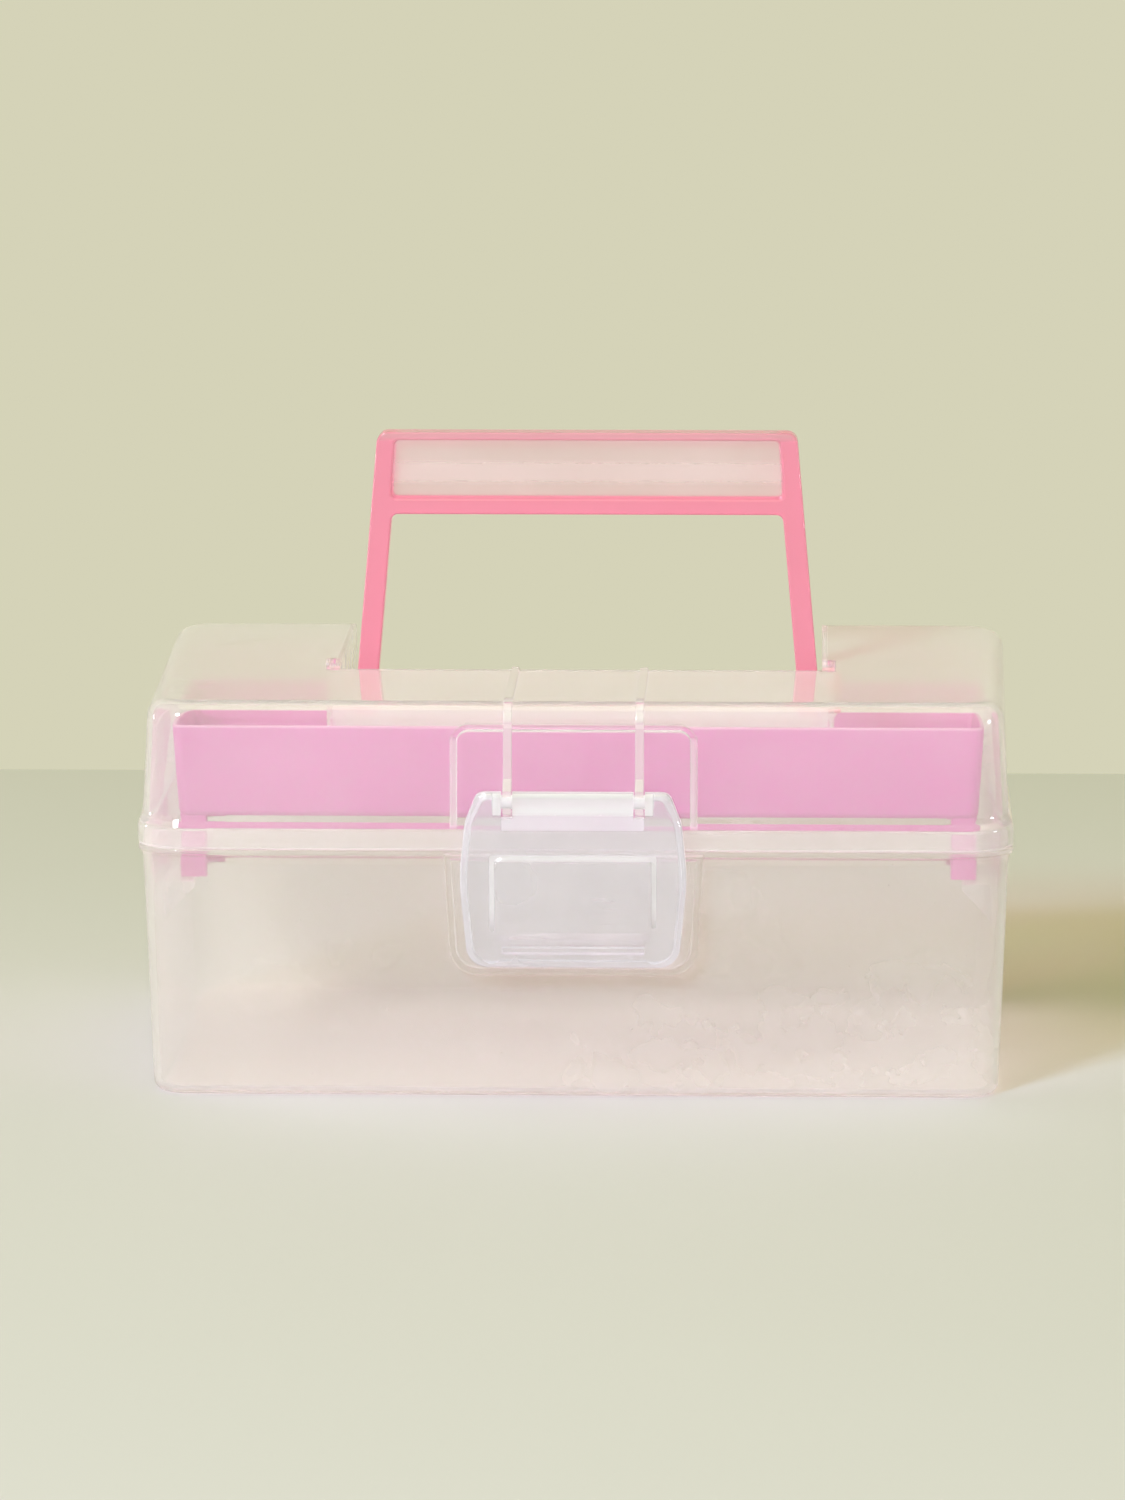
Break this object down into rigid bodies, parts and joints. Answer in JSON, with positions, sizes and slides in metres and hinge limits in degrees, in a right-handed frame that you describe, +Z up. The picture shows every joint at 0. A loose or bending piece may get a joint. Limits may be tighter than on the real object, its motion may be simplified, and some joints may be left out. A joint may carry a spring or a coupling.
{
  "type": "art supply box",
  "caption": "Translucent hinged storage box with a front flap latch, a fold-down bail handle in a lid trough and a lift-out tray inside.",
  "frame": {"origin": "centre of the box's footprint, on the surface it stands on", "axes": "+X to the right along the width, -Y out of the latch side, +Z up"},
  "size_m": [0.2604, 0.175, 0.1905],
  "materials": {
    "clear_shell": "translucent, softly glossy moulding",
    "latch_plastic": "clear gloss moulding",
    "handle_plastic": "translucent pink gloss moulding",
    "tray_plastic": "translucent orchid pink moulding",
    "pin_steel": "bright wire"
  },
  "bodies": {
    "base": {"base_box": "clear_shell", "hinge_pin_left": "pin_steel", "hinge_pin_right": "pin_steel"},
    "lid": {"lid_shell": "clear_shell"},
    "latch": {"front_latch": "latch_plastic"},
    "handle": {"carry_handle": "handle_plastic"},
    "tray": {"inner_tray": "tray_plastic"}
  },
  "joints": [
    {"name": "lid_hinge", "type": "hinge", "parent": "base", "child": "lid", "pos_m": [0, 0.0842, 0.07525], "axis": [-1, 0, 0], "range_deg": [0, 110]},
    {"name": "latch_pivot", "type": "hinge", "parent": "lid", "child": "latch", "pos_m": [0, -0.0836, 0.0907], "axis": [-1, 0, 0], "range_deg": [0, 105]},
    {"name": "handle_pivot", "type": "hinge", "parent": "lid", "child": "handle", "pos_m": [0, -0.0064, 0.112], "axis": [-1, 0, 0], "range_deg": [-30, 95]},
    {"name": "tray_lift", "type": "slide", "parent": "base", "child": "tray", "axis": [0, 0, 1], "range_m": [0, 0.065]}
  ],
  "couplings": [
    {"joint": "tray_lift", "follows": "lid_hinge", "m_per_rad": 0.033}
  ]
}
